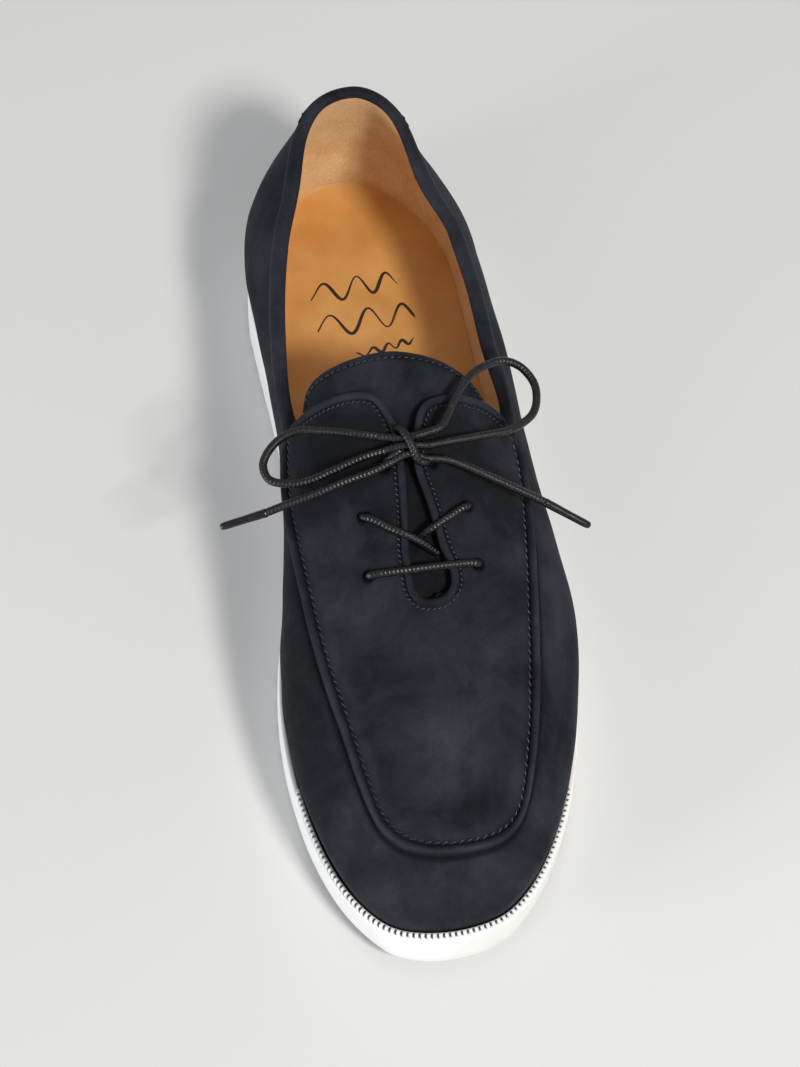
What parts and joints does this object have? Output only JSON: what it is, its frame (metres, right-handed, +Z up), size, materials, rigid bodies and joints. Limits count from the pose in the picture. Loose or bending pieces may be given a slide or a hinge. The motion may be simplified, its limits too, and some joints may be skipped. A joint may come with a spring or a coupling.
{
  "type": "boat shoe",
  "caption": "Left lace-up boat shoe, hollow navy nubuck upper with moccasin apron, tongue and tied lace, on a white rubber cupsole with a ribbed strip round the toe.",
  "frame": {"origin": "on the floor, under the middle of the shoe's own box in plan (sole and upper, without the bow)", "axes": "+Y towards the heel, -Y towards the toe, +X towards the lateral (outer) side of this left shoe, +Z up"},
  "size_m": [0.1195, 0.2976, 0.0877],
  "materials": {
    "navy_nubuck": "brushed nubuck, very matt, softly mottled",
    "white_rubber": "vulcanised white rubber, satin",
    "tan_leather": "vegetable-tanned leather, smooth insole and fuzzy suede lining",
    "waxed_lace": "round waxed cord, dark navy with a low shine",
    "aglet_film": "glossy shrunk film"
  },
  "bodies": {
    "root": {"sole": "white_rubber", "toe_rand": "white_rubber", "upper": "navy_nubuck", "insole": "tan_leather", "tongue": "navy_nubuck", "lace_bar": "waxed_lace", "lace_crossing": "waxed_lace", "lace_knot": "waxed_lace", "lace_loop_medial": "waxed_lace", "lace_loop_lateral": "waxed_lace", "lace_end_medial": "waxed_lace", "lace_end_lateral": "waxed_lace", "aglet_medial": "aglet_film", "aglet_lateral": "aglet_film"}
  },
  "joints": []
}
